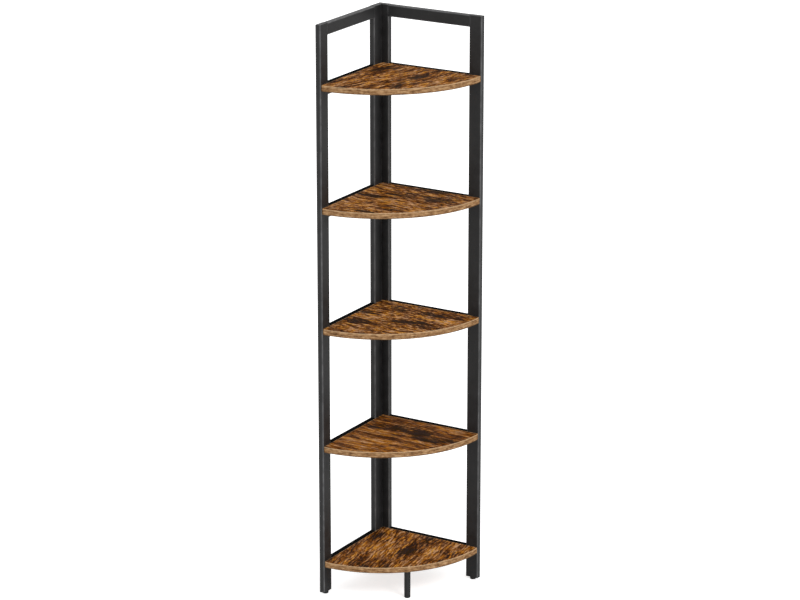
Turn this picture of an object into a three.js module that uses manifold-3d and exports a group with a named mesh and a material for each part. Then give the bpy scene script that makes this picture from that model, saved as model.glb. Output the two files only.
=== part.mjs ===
// Corner shelf unit: two flat frames of rectangular steel tube that meet at a right angle,
// quarter-round boards between them, levelling feet and a short leg under the front.
// The origin is on the floor, in the middle of the square footprint. The two walls that the
// unit stands against are on its -X and its +Y side. Lengths are in millimetres.
import * as THREE from 'three';
import { mergeVertices } from 'three/addons/utils/BufferGeometryUtils.js';
import Module from 'manifold-3d';

const wasm = await Module();
wasm.setup();

// Frames
const footprint = 300;
const uprightWidth = 35;
const railHeight = 30;
const tubeDepth = 15;
const tubeWall = 1.2;
const tubeCorner = 2.5;

// Boards, counted from the floor, and the frames' height above the highest one
const shelfCount = 5;
const lowestShelfTop = 92;
const shelfSpacing = 310;
const headroom = 148;
const shelfThickness = 15;
const shelfTipRadius = 3;
const shelfClearance = 0.3;

// Joint between the lower and the upper half of each upright, level with the top of a board
const splitShelf = 3;
const neckLength = 40;
const neckClearance = 0.3;
const neckShoulder = 2;

// Screws that hold the boards, put in through the wall side of the rails
const shelfScrewInset = 45;
const shelfScrewDiameter = 4;
const shelfScrewReach = 26;
const shelfScrewTip = 4;
const shelfScrewHead = 8;
const shelfScrewHeadHeight = 2.6;
const recessLength = 4.4;
const recessWidth = 1;
const recessDepth = 1.3;

// Bolts that hold the left frame to the right frame, and the nuts inside the left one
const cornerBoltInset = 120;
const cornerBoltDiameter = 5;
const cornerBoltLength = 12;
const cornerBoltHead = 8.4;
const cornerBoltHeadHeight = 3;
const socketAcross = 3.2;
const socketDepth = 1.8;
const weldNutDiameter = 9;
const weldNutHeight = 4;

// Levelling feet under the uprights, as wide as the tubes are deep
const footHeight = 6;
const footTaper = 2;
const footBevel = 0.8;
const studDiameter = 6;
const studLength = 24;
const studPoint = 1.5;
const plugLength = 22;
const plugFlange = 2;
const plugClearance = 0.3;

// Leg under the front of the lowest board
const legDiameter = 16;
const legSetback = 21;
const legFootLip = 0.75;
const legFootHeight = 10;
const legStudDiameter = 8;
const legStudShort = 1;
const insertWall = 1.2;
const insertCover = 3;

// Clearances, and how far a cutting shape runs past what it cuts
const accessClearance = 0.4;
const boltClearance = 0.3;
const seatGap = 0.3;
const overrun = 1;

// Steps on round shapes
const cornerSteps = 3;
const tipSteps = 4;
const frontSteps = 44;
const roundSides = 20;
const screwSides = 12;
const hexagonSides = 6;

// Places that follow from the sizes above
const half = footprint / 2;
const quarterTurn = Math.PI / 2;
const tubeBottom = footHeight + seatGap + plugFlange;
const shelfTops = Array.from({ length: shelfCount }, (_, i) => lowestShelfTop + i * shelfSpacing);
const frameTop = shelfTops[shelfCount - 1] + headroom;
const splitHeight = shelfTops[splitShelf - 1];
const shelfUnderside = lowestShelfTop - shelfThickness;
const shelfRadius = footprint - tubeDepth;
const screwHeightInRail = (railHeight - shelfThickness) / 2;
const footDiameter = tubeDepth;
const legFootDiameter = legDiameter + 2 * legFootLip;
const insertDiameter = legStudDiameter + 2 * (boltClearance + insertWall);
const insertLength = shelfThickness - insertCover - seatGap;
const cornerBoltHeights = [
  tubeBottom + cornerBoltInset,
  splitHeight - cornerBoltInset,
  splitHeight + cornerBoltInset,
  frameTop - cornerBoltInset,
];

const powderCoat = new THREE.MeshStandardMaterial({ color: 0x2b2b2c, roughness: 0.5, metalness: 0.3 });
const rusticBoard = new THREE.MeshStandardMaterial({ color: 0x8a5a32, roughness: 0.55, metalness: 0 });
const blackPlastic = new THREE.MeshStandardMaterial({ color: 0x1b1b1b, roughness: 0.65, metalness: 0 });
const blackSteel = new THREE.MeshStandardMaterial({ color: 0x3a3a3c, roughness: 0.4, metalness: 0.8 });

// The closed surface of a geometry as a solid that can be joined and cut
function toSolid(geometry) {
  const bare = new THREE.BufferGeometry();
  bare.setAttribute('position', geometry.getAttribute('position'));
  bare.setIndex(geometry.getIndex());
  const merged = mergeVertices(bare);
  const corners = merged.getIndex().array;
  const kept = [];
  for (let i = 0; i < corners.length; i += 3) {
    const [a, b, c] = corners.slice(i, i + 3);
    if (a !== b && b !== c && c !== a) {
      kept.push(a, b, c);
    }
  }
  const vertProperties = merged.getAttribute('position').array;
  const triVerts = new Uint32Array(kept);
  return new wasm.Manifold(new wasm.Mesh({ numProp: 3, vertProperties, triVerts }));
}

function toGeometry(solid) {
  const { vertProperties, triVerts } = solid.getMesh();
  const geometry = new THREE.BufferGeometry();
  geometry.setAttribute('position', new THREE.BufferAttribute(vertProperties, 3));
  geometry.setIndex(new THREE.BufferAttribute(triVerts, 1));
  geometry.computeVertexNormals();
  return geometry;
}

function join(base, others) {
  return toGeometry(others.reduce((whole, other) => whole.add(toSolid(other)), toSolid(base)));
}

function cut(base, cutters) {
  return toGeometry(cutters.reduce((rest, cutter) => rest.subtract(toSolid(cutter)), toSolid(base)));
}

function arc(x, y, radius, from, to, steps) {
  return Array.from({ length: steps + 1 }, (_, i) => {
    const angle = from + ((to - from) * i) / steps;
    return new THREE.Vector2(x + radius * Math.cos(angle), y + radius * Math.sin(angle));
  });
}

function roundedRectangle(width, depth, radius) {
  const signs = [[1, 1], [-1, 1], [-1, -1], [1, -1]];
  return signs.flatMap(([sx, sy], i) => {
    const x = sx * (width / 2 - radius);
    const y = sy * (depth / 2 - radius);
    return arc(x, y, radius, i * quarterTurn, (i + 1) * quarterTurn, cornerSteps);
  });
}

// An outline in x and y, carried up from one height to another
function prism(outline, bottom, top) {
  const settings = { depth: top - bottom, bevelEnabled: false };
  return new THREE.ExtrudeGeometry(new THREE.Shape(outline), settings).translate(0, 0, bottom);
}

// A profile of radii and heights, turned about z
function turned(profile, sides) {
  const points = profile.map(([radius, height]) => new THREE.Vector2(radius, height));
  return new THREE.LatheGeometry(points, sides).rotateX(quarterTurn);
}

function rod(diameter, bottom, top, sides) {
  const radius = diameter / 2;
  return turned([[0, bottom], [radius, bottom], [radius, top], [0, top]], sides);
}

function tubeOutline(width) {
  return roundedRectangle(width, tubeDepth, tubeCorner);
}

// The outline inside a tube, with a clearance all round for what goes into it
function boreOutline(width, clearance) {
  const less = 2 * (tubeWall + clearance);
  return roundedRectangle(width - less, tubeDepth - less, tubeCorner - tubeWall);
}

// A tube that is open at both ends
function openTube(width, bottom, top) {
  const bore = prism(boreOutline(width, 0), bottom - overrun, top + overrun);
  return cut(prism(tubeOutline(width), bottom, top), [bore]);
}

// A wide hole that lets a head in through the wall side of a tube, and a narrow one for its
// shank in the room side. It is laid along y, at a place on the tube's x and z.
function fastenerHole(headDiameter, shankDiameter, x, z) {
  const wide = headDiameter + 2 * accessClearance;
  const narrow = shankDiameter + 2 * boltClearance;
  const end = tubeDepth / 2 + overrun;
  const profile = [
    [0, -end],
    [wide / 2, -end],
    [wide / 2, 0],
    [narrow / 2, 0],
    [narrow / 2, end],
    [0, end],
  ];
  return turned(profile, screwSides).rotateX(quarterTurn).translate(x, 0, z);
}

function addPiece(group, name, geometry, material, x, y, z) {
  const mesh = new THREE.Mesh(geometry, material);
  mesh.name = name;
  mesh.position.set(x, y, z);
  group.add(mesh);
  return mesh;
}

// The upper half of an upright: closed at its top, and drawn in at its bottom to a neck that
// fits into the lower half
function upperUpright() {
  const neckWidth = uprightWidth - 2 * (tubeWall + neckClearance);
  const neckDepth = tubeDepth - 2 * (tubeWall + neckClearance);
  const neckRadius = tubeCorner - tubeWall;
  const neckBottom = splitHeight - neckLength;
  const neckBore = roundedRectangle(neckWidth - 2 * tubeWall, neckDepth - 2 * tubeWall, neckRadius / 2);
  const blank = join(prism(tubeOutline(uprightWidth), splitHeight, frameTop), [
    prism(boreOutline(uprightWidth, neckClearance), neckBottom, splitHeight + neckShoulder / 2),
  ]);
  return cut(blank, [
    prism(boreOutline(uprightWidth, 0), splitHeight + neckShoulder, frameTop - tubeWall),
    prism(neckBore, neckBottom - overrun, splitHeight + neckShoulder + overrun),
  ]);
}

// The right frame's rear upright lets the corner bolts through near its outer edge, in line
// with the middle of the left frame
function withCornerHoles(upright) {
  const x = (tubeDepth - uprightWidth) / 2;
  const holes = cornerBoltHeights.map((z) => fastenerHole(cornerBoltHead, cornerBoltDiameter, x, z));
  return cut(upright, holes);
}

// The left frame's rear upright takes the corner bolts in its narrow side, in nuts that are
// welded to the inside
function withCornerNuts(upright, bottom, top) {
  const face = uprightWidth / 2;
  const nutEnd = tubeWall + weldNutHeight;
  const heights = cornerBoltHeights.filter((z) => z > bottom && z < top);
  const inwards = (geometry, z) => geometry.rotateY(-quarterTurn).translate(face, 0, z);
  const nuts = heights.map((z) => inwards(rod(weldNutDiameter, tubeWall / 2, nutEnd, screwSides), z));
  const bore = cornerBoltDiameter + 2 * boltClearance;
  const bores = heights.map((z) => inwards(rod(bore, -overrun, nutEnd + overrun, screwSides), z));
  return cut(join(upright, nuts), bores);
}

// Pan-head screw with a cross recess. It points up, and its head's underside is at zero.
function shelfScrew() {
  const head = shelfScrewHead / 2;
  const shank = shelfScrewDiameter / 2;
  const end = tubeWall + shelfClearance + shelfScrewReach;
  const profile = [
    [0, -shelfScrewHeadHeight],
    [head - shank / 2, -shelfScrewHeadHeight],
    [head, -shelfScrewHeadHeight / 2],
    [head, 0],
    [shank, 0],
    [shank, end - shelfScrewTip],
    [0, end],
  ];
  const slots = [[recessLength, recessWidth], [recessWidth, recessLength]].map(([width, depth]) => {
    const corners = [[-1, -1], [1, -1], [1, 1], [-1, 1]];
    const outline = corners.map(([sx, sy]) => new THREE.Vector2((sx * width) / 2, (sy * depth) / 2));
    return prism(outline, -shelfScrewHeadHeight - overrun, recessDepth - shelfScrewHeadHeight);
  });
  return cut(turned(profile, screwSides), slots);
}

// Button-head bolt with a hexagonal socket. It points up, and its head's underside is at zero.
function cornerBolt() {
  const head = cornerBoltHead / 2;
  const shank = cornerBoltDiameter / 2;
  const profile = [
    [0, -cornerBoltHeadHeight],
    [shank, -cornerBoltHeadHeight],
    [head, -cornerBoltHeadHeight / 2],
    [head, 0],
    [shank, 0],
    [shank, cornerBoltLength],
    [0, cornerBoltLength],
  ];
  const socketRadius = socketAcross / 2 / Math.cos(Math.PI / hexagonSides);
  const hexagon = arc(0, 0, socketRadius, 0, 2 * Math.PI, hexagonSides).slice(1);
  const socket = prism(hexagon, -cornerBoltHeadHeight - overrun, socketDepth - cornerBoltHeadHeight);
  return cut(turned(profile, screwSides), [socket]);
}

// Plastic plug in the end of an upright, with a bore for the stud of the levelling foot. Its
// flange's underside is at zero.
function tubePlug() {
  const top = plugFlange + plugLength;
  const body = prism(boreOutline(uprightWidth, plugClearance), plugFlange / 2, top);
  const bore = rod(studDiameter + 2 * boltClearance, -overrun, top + overrun, screwSides);
  return cut(join(prism(tubeOutline(uprightWidth), 0, plugFlange), [body]), [bore]);
}

// A round pad that stands on the floor, and its stud
function levellingFoot(padDiameter, padHeight) {
  const pad = padDiameter / 2;
  const stud = studDiameter / 2;
  const end = padHeight + studLength;
  const profile = [
    [0, 0],
    [pad - footBevel, 0],
    [pad, footBevel],
    [pad, padHeight / 2],
    [pad - footTaper, padHeight],
    [stud, padHeight],
    [stud, end - studPoint],
    [stud - studPoint, end],
    [0, end],
  ];
  return turned(profile, roundSides);
}

// Round leg with a bore for its levelling foot, and a stud that screws into the lowest board.
// Its bottom is at zero.
function frontLeg() {
  const outer = legDiameter / 2;
  const bore = studDiameter / 2 + boltClearance;
  const stud = legStudDiameter / 2;
  const boreTop = studLength + seatGap;
  const shoulder = shelfUnderside - legFootHeight - seatGap;
  const end = shoulder + insertLength - legStudShort;
  const profile = [
    [0, boreTop],
    [bore, boreTop],
    [bore, 0],
    [outer, 0],
    [outer, shoulder],
    [stud, shoulder],
    [stud, end],
    [0, end],
  ];
  return turned(profile, roundSides);
}

// Threaded insert in the lowest board, flush with its underside, which is at zero
function legInsert() {
  const bore = rod(legStudDiameter + 2 * boltClearance, -overrun, insertLength + overrun, roundSides);
  return cut(rod(insertDiameter, 0, insertLength, roundSides), [bore]);
}

// A quarter disc between +x and -y about the frames' inner corner. Its straight edges keep a
// small clearance from the frames, and the tips at the ends of its front are rounded.
function shelfOutline() {
  const inset = shelfClearance + shelfTipRadius;
  const reach = Math.sqrt((shelfRadius - shelfTipRadius) ** 2 - inset ** 2);
  const lean = Math.atan2(inset, reach);
  return [
    new THREE.Vector2(shelfClearance, -shelfClearance),
    ...arc(reach, -inset, shelfTipRadius, quarterTurn, -lean, tipSteps),
    ...arc(0, 0, shelfRadius, -lean, lean - quarterTurn, frontSteps).slice(1, -1),
    ...arc(inset, -reach, shelfTipRadius, lean - quarterTurn, -2 * quarterTurn, tipSteps),
  ];
}

// Where the leg stands, out from the inner corner along x and along -y
function legOffset() {
  return (shelfRadius - legSetback) * Math.SQRT1_2;
}

// Where the board screws meet a board's straight edge, measured from the inner corner. The left
// frame's rear end is at that corner, and the right frame's is a tube's depth behind it.
function screwOffsets() {
  const near = uprightWidth + shelfScrewInset;
  const far = shelfRadius - near;
  return { left: [near, far], right: [near - tubeDepth, far] };
}

// A board with its underside at zero and its screw holes, and a pocket for the leg's insert in
// the lowest one
function shelfBoard(hasLeg) {
  const length = shelfScrewReach + seatGap;
  const hole = () => rod(shelfScrewDiameter + 2 * boltClearance, -overrun, length, screwSides);
  const z = shelfThickness / 2;
  const start = shelfClearance;
  const offsets = screwOffsets();
  const leftHoles = offsets.left.map((y) => hole().rotateY(quarterTurn).translate(start, -y, z));
  const rightHoles = offsets.right.map((x) => hole().rotateX(quarterTurn).translate(x, -start, z));
  const pockets = [];
  if (hasLeg) {
    const pocket = rod(insertDiameter + 2 * boltClearance, -overrun, insertLength + seatGap, roundSides);
    pockets.push(pocket.translate(legOffset(), -legOffset(), 0));
  }
  return cut(prism(shelfOutline(), 0, shelfThickness), [...leftHoles, ...rightHoles, ...pockets]);
}

// Places at the same inset from both ends of a frame, by name
function frameEnds(frame, inset) {
  const left = inset;
  const right = frame.length - inset;
  return frame.rearOnRight ? { rear: right, front: left } : { rear: left, front: right };
}

// An upright in two halves. Only the rear ones are drilled for the corner bolts.
function addUpright(group, frame, end, x) {
  let lower = openTube(uprightWidth, tubeBottom, splitHeight);
  let upper = upperUpright();
  if (end === 'rear' && frame.side === 'left') {
    lower = withCornerNuts(lower, tubeBottom, splitHeight);
    upper = withCornerNuts(upper, splitHeight, frameTop);
  }
  if (end === 'rear' && frame.side === 'right') {
    lower = withCornerHoles(lower);
    upper = withCornerHoles(upper);
  }
  addPiece(group, `${frame.side}_${end}_upright_lower`, lower, powderCoat, x, 0, 0);
  addPiece(group, `${frame.side}_${end}_upright_upper`, upper, powderCoat, x, 0, 0);
}

function addFoot(group, frame, end, x) {
  const foot = levellingFoot(footDiameter, footHeight);
  const flange = footHeight + seatGap;
  addPiece(group, `${frame.side}_${end}_tube_plug`, tubePlug(), blackPlastic, x, 0, flange);
  addPiece(group, `${frame.side}_${end}_levelling_foot`, foot, blackPlastic, x, 0, 0);
}

// The rails are tubes on their side, welded in between the uprights, one behind each board and
// one at the top
function addRails(group, frame) {
  const reach = frame.length / 2 - uprightWidth;
  const plain = openTube(railHeight, -reach, reach);
  const screwPlaces = [shelfScrewInset - reach, reach - shelfScrewInset];
  const holes = screwPlaces.map((along) =>
    fastenerHole(shelfScrewHead, shelfScrewDiameter, -screwHeightInRail, along),
  );
  const drilled = cut(plain, holes);
  const addRail = (name, rail, top) => {
    const z = top - railHeight / 2;
    addPiece(group, name, rail, powderCoat, frame.length / 2, 0, z).rotation.y = quarterTurn;
  };
  shelfTops.forEach((top, i) => addRail(`${frame.side}_shelf_rail_${i + 1}`, drilled, top));
  addRail(`${frame.side}_top_rail`, plain, frameTop);
}

// Heads rest on the inside of a tube's room side, and the shanks point into the room
function addFastener(group, name, geometry, x, z) {
  const seat = tubeWall - tubeDepth / 2;
  addPiece(group, name, geometry, blackSteel, x, seat, z).rotation.x = quarterTurn;
}

function addShelfScrews(group, frame) {
  const screw = shelfScrew();
  const places = Object.entries(frameEnds(frame, uprightWidth + shelfScrewInset));
  shelfTops.forEach((top, i) => {
    for (const [end, x] of places) {
      const name = `shelf_${i + 1}_screw_${frame.side}_${end}`;
      addFastener(group, name, screw, x, top - shelfThickness / 2);
    }
  });
}

// One frame with its feet and screws. Its own x runs along it to the right as seen from the
// room, its own y towards its wall, and its origin is on the floor at its left end.
function makeFrame(frame) {
  const group = new THREE.Group();
  for (const [end, x] of Object.entries(frameEnds(frame, uprightWidth / 2))) {
    addUpright(group, frame, end, x);
    addFoot(group, frame, end, x);
  }
  addRails(group, frame);
  addShelfScrews(group, frame);
  return group;
}

// The left frame stops at the inner face of the right one, which fills the outer corner
function makeLeftFrame() {
  const group = makeFrame({ side: 'left', length: footprint - tubeDepth, rearOnRight: true });
  group.position.set(tubeDepth / 2 - half, -half, 0);
  group.rotation.z = quarterTurn;
  return group;
}

function makeRightFrame() {
  const group = makeFrame({ side: 'right', length: footprint, rearOnRight: false });
  group.position.set(-half, half - tubeDepth / 2, 0);
  const bolt = cornerBolt();
  cornerBoltHeights.forEach((z, i) => addFastener(group, `corner_bolt_${i + 1}`, bolt, tubeDepth / 2, z));
  return group;
}

// The boards and the front leg, placed from the frames' inner corner
function makeShelves() {
  const group = new THREE.Group();
  group.position.set(tubeDepth - half, half - tubeDepth, 0);
  shelfTops.forEach((top, i) => {
    const board = shelfBoard(i === 0);
    addPiece(group, `shelf_${i + 1}`, board, rusticBoard, 0, 0, top - shelfThickness);
  });
  const out = legOffset();
  const foot = levellingFoot(legFootDiameter, legFootHeight);
  addPiece(group, 'front_leg', frontLeg(), powderCoat, out, -out, legFootHeight + seatGap);
  addPiece(group, 'front_leg_insert', legInsert(), blackSteel, out, -out, shelfUnderside);
  addPiece(group, 'front_leg_levelling_foot', foot, blackPlastic, out, -out, 0);
  return group;
}

const unit = new THREE.Group();
unit.add(makeLeftFrame(), makeRightFrame(), makeShelves());

export default unit;
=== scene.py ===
import math

import bmesh
import bpy
import numpy as np
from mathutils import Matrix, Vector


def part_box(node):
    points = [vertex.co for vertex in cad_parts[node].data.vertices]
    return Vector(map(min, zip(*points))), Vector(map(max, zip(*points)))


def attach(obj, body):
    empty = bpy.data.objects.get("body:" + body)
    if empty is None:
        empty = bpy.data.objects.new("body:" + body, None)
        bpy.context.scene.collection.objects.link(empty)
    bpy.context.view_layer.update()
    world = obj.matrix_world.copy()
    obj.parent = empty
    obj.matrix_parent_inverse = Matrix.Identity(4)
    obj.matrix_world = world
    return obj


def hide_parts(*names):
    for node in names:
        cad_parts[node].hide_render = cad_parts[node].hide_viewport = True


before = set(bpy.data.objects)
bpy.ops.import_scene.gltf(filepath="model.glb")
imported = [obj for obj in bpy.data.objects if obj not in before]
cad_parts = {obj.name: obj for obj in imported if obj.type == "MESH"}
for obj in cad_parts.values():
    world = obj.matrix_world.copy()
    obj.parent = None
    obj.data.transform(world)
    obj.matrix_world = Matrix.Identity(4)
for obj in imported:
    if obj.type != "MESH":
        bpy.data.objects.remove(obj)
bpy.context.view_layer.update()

# Steel tube of the frames. The uprights' halves meet at the upper edge of the split rail. A
# face looks up where its normal's Z is above TOP_FACE_NORMAL
TUBE_WALL = 0.0012
TUBE_CORNER = 0.0025
LEAST_CORNER = 0.0002
RIM_ROUNDING = 0.0003
TOP_ROUNDING = 0.0008
NECK_INSET = 0.0015
NECK_SHOULDER = 0.002
SPLIT_RAIL = "left_shelf_rail_3"
TOP_FACE_NORMAL = 0.6

# How finely a tube is divided, the points of a rim's quarter circle and of a cap's or the leg's,
# the width of the narrow stretches beside edges, the shares of a tube's wall side that have a
# point, the least gap between two of them, and the scales of the rows on its closed end
CORNER_STEPS = 6
LENGTH_STEPS = 9
RIM_STEPS = 4
TURN_STEPS = 5
SUPPORT_WIDTH = 0.0004
WALL_SHARES = [0.25, 0.5, 0.75]
LEAST_SHARE = 0.001
CAP_SCALES = (0.96, 0.5)

# Holes in the wall side of the tubes, which let the screw and bolt heads in. NO_HOLE stands
# for a tube without any: no place across, no places along and no diameter
SCREW_HOLE = 0.0088
BOLT_HOLE = 0.0092
HOLE_PATCH_MARGIN = 0.0002
HOLE_STEPS = 8
NO_HOLE = (None, (), 0.0)

# Weld beads round the rails' ends, and the shares of a rail's sides at which they have points
BEAD_RADIUS = 0.0015
BEAD_SINK = 0.0012
BEAD_REACH = 0.0007
BEAD_RIPPLE = 0.00012
BEAD_RIPPLE_PITCH = 0.0016
BEAD_COLUMNS = 8
BEAD_SHARES = (np.linspace(0.1, 0.9, 9), np.linspace(0.1, 0.9, 5))

# Boards, and the points in each stretch of their outline, on their rounded rims and edge band
BOARD_CLEARANCE = 0.0003
BOARD_TIP = 0.0045
BOARD_CORNER = 0.0015
BOARD_EDGE = 0.0009
BOARD_MIDDLE_SHARE = 0.42
RIM_BAND = 0.0024
RIM_INSETS = [0.006, 0.0042, 0.003, 0.0022, 0.0015]
INNER_SHARES = np.linspace(0.04, 0.98, 34)
BOARD_STEPS = {"corner": 4, "tip": 7, "front": 111, "side": 49, "rim": 5, "band": 6}

# Levelling feet and plugs. A pad's underside turns up over a share of its height. Its grips have
# their last full row, start to fade and end at other shares of it
STUD_DIAMETER = 0.006
STUD_PITCH = 0.001
STUD_THREAD = 0.0005
STUD_POINT = 0.0015
STUD_CLEARANCE = 0.0003
FOOT_HEIGHT = 0.006
LEG_FOOT_HEIGHT = 0.010
PAD_ROUNDING = 0.0006
PAD_TURN_SHARE = 0.3
PAD_STEPS = 9
PAD_GRIPS = 24
PAD_GRIP_DEPTH = 0.0002
GRIP_SHARES = (0.6, 0.7, 0.85)
PLUG_FLANGE = 0.002
PLUG_CLEARANCE = 0.0003
PLUG_SHARES = np.array([0.05, 0.3, 0.5, 0.7, 0.95])
PLUG_BEVEL_SHARE = 0.3

# Leg, and the thread of the insert that it screws into
LEG_STUD_DIAMETER = 0.008
LEG_STUD_PITCH = 0.00125
LEG_STUD_POINT = 0.0008
LEG_END_STRETCH = 0.02
INSERT_PITCH = 0.002

# Screws and bolts. The dome of a head rises with a power of the radius, and has its rows at
# shares of the radius. The rows of the shank's point lie at shares of its length
SCREW = {
    "head": 0.0026, "shank": 0.002, "point": 0.004, "pitch": 0.0018, "thread": 0.0006, "recess": 0.0013,
}
BOLT = {
    "head": 0.003, "shank": 0.0025, "point": 0.0008, "pitch": 0.0008, "thread": 0.0004, "recess": 0.0018,
}
HEAD_ROUNDING = 0.0001
SEAT_ROUNDING = 0.0002
DOME_SHARE = 0.45
DOME_POWER = 2.6
DOME_SHARES = np.append(np.linspace(0.03, 0.9, 20), np.linspace(0.9, 1.0, 5)[1:])
POINT_SHARES = np.linspace(0.2, 1.0, 5)
TIP_SHARE = 0.08
CROSS_LENGTH = 0.0044
CROSS_WIDTH = 0.001
SOCKET_ACROSS = 0.0032
RECESS_EDGE = 0.00025
NUT_DIAMETER = 0.009
NUT_HEIGHT = 0.004

# The floor's half width and the light that a camera sees it give, and the light from all round
FLOOR_REACH = 40.0
FLOOR_GLOW = 0.68
SOFT_LIGHT = 0.55

# Rows of points in one turn of a thread, on studs, on screws and bolts, and on the insert, the
# columns round each kind of turned piece, and the share of a flat end's radius at which its
# innermost row lies
STUD_STEPS = 6
SHANK_STEPS = 5
INSERT_STEPS = 8
COLUMNS = {"fastener": 32, "nut": 24, "foot": 96, "leg": 64, "insert": 48}
CORE_SHARE = 0.3

RIGHT_ANGLE = math.pi / 2
FULL_TURN = 2 * math.pi
SHARP_DEGREES = 38.0

# Directions along each frame and from it to its wall, the tubes' own axes, and a factor that
# takes a point's height away
AXIS_X = np.array([1.0, 0.0, 0.0])
AXIS_Y = np.array([0.0, 1.0, 0.0])
AXIS_Z = np.array([0.0, 0.0, 1.0])
ON_FLOOR = 1 - AXIS_Z
ALONG = {"left": AXIS_Y, "right": AXIS_X}
TO_WALL = {"left": -AXIS_X, "right": AXIS_Y}
SIDES = ("left", "right")
ENDS = ("front", "rear")
UPRIGHTS = [(side, end) for side in SIDES for end in ENDS]
STANDING = (AXIS_X, AXIS_Y, AXIS_Z)
UPRIGHT_AXES = {side: (ALONG[side], TO_WALL[side], AXIS_Z) for side in SIDES}
RAIL_AXES = {side: (AXIS_Z, TO_WALL[side], ALONG[side]) for side in SIDES}
SHELF_COUNT = 5
BOLT_COUNT = 4


def corners_of(node):
    """Lowest and highest corner of a CAD node as arrays."""
    low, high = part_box(node)
    return np.array(low), np.array(high)


def measures(node, *axes):
    """The middle of a CAD node's box, and the size of the box along each axis."""
    low, high = corners_of(node)
    return (low + high) / 2, *[float(np.abs((high - low) @ axis)) for axis in axes]


def rails_of(side):
    """The names of a frame's rails, from the lowest shelf rail up to the top rail."""
    return [f"{side}_shelf_rail_{i + 1}" for i in range(SHELF_COUNT)] + [f"{side}_top_rail"]


def smooth_step(low, high, value):
    """Rises from 0 at low to 1 at high, level at both ends: t times t times (3 minus 2 t)."""
    t = np.clip((value - low) / (high - low), 0.0, 1.0)
    return t * t * (3.0 - 2.0 * t)


def nearest(values, wanted):
    """The place in an array of the value that is nearest to the wanted one."""
    return int(np.argmin(np.abs(values - wanted)))


def arc(x, y, size, start, end, steps):
    """Points of an arc about x and y: the cosine and sine of even steps from the start to the
    end angle, which are given in right angles, times the size."""
    angles = RIGHT_ANGLE * np.linspace(start, end, steps)
    return np.stack([x + size * np.cos(angles), y + size * np.sin(angles)], axis=-1)


def straight(radius, heights):
    """Pairs of the same radius or inset with each of the heights."""
    return np.column_stack([np.full(len(heights), radius), heights])


def lifted(flat, height):
    """Flat points with the same height as their third coordinate."""
    return np.concatenate([flat, np.full(flat.shape[:-1] + (1,), height)], axis=-1)


class Surface:
    """Points and faces of one mesh. Points come as grids, whose rows are closed loops."""

    def __init__(self):
        self.grids = []
        self.faces = []
        self.count = 0

    def rows(self, grid):
        """Adds a grid of points, and gives back its table of vertex numbers."""
        shape = grid.shape[:2]
        numbers = self.count + np.arange(shape[0] * shape[1]).reshape(shape)
        self.grids.append(grid.reshape(-1, 3))
        self.count += numbers.size
        return numbers

    def skin(self, numbers, keep=None):
        """Quads between neighbouring rows of a table of vertex numbers, where keep is true."""
        ahead = np.roll(numbers, -1, axis=1)
        quads = np.stack([numbers[:-1], ahead[:-1], ahead[1:], numbers[1:]], axis=-1)
        chosen = quads.reshape(-1, 4) if keep is None else quads[keep]
        self.faces += chosen.tolist()

    def ring(self, grid):
        """Adds a grid of points whose last row joins its first."""
        numbers = self.rows(grid)
        self.skin(np.vstack([numbers, numbers[:1]]))

    def pole(self, loop, point):
        """Closes a loop of vertex numbers with triangles to one point."""
        centre = self.rows(np.array([[point]]))[0, 0]
        triangles = np.stack([loop, np.roll(loop, -1), np.full_like(loop, centre)], axis=-1)
        self.faces += triangles.tolist()

    def points(self):
        """All points so far as one array."""
        return np.concatenate(self.grids)


def new_object(name, data):
    """An object with a mesh, light or camera, linked to the scene."""
    made = bpy.data.objects.new(name, data)
    bpy.context.scene.collection.objects.link(made)
    return made


def add_piece(name, surface, material, body="unit", node=None, values=None):
    """A shown piece from a surface. Its normals are turned outwards, and edges sharper than a
    rounded corner's steps stay sharp."""
    mesh = bpy.data.meshes.new(name)
    mesh.from_pydata(surface.points(), [], surface.faces)
    shape = bmesh.new()
    shape.from_mesh(mesh)
    bmesh.ops.recalc_face_normals(shape, faces=shape.faces)
    shape.to_mesh(mesh)
    shape.free()
    mesh.polygons.foreach_set("use_smooth", np.ones(len(mesh.polygons), dtype=bool))
    mesh.set_sharp_from_angle(angle=math.radians(SHARP_DEGREES))
    for label, numbers in (values or {}).items():
        mesh.attributes.new(label, "FLOAT", "POINT").data.foreach_set("value", numbers.astype(np.float32))
    mesh.materials.append(material)
    piece = new_object(name, mesh)
    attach(piece, body)
    if node:
        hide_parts(node)
    return piece


def placed(grid, origin, axes):
    """Local points in the scene: the origin plus each local coordinate times its axis."""
    return origin + grid @ np.stack(axes)


def thread(heights, angles, pitch, depth, start, end):
    """How far a thread stands in from its crest: its depth times a triangle wave of the height
    in pitches less the angle in turns. So it climbs one pitch in each turn. It fades out at
    both ends."""
    phase = (heights / pitch - angles / FULL_TURN) % 1.0
    ridge = np.abs(2 * phase - 1)
    fade = smooth_step(start, start + pitch, heights) * (1 - smooth_step(end - pitch, end, heights))
    return depth * ridge * fade


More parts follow.
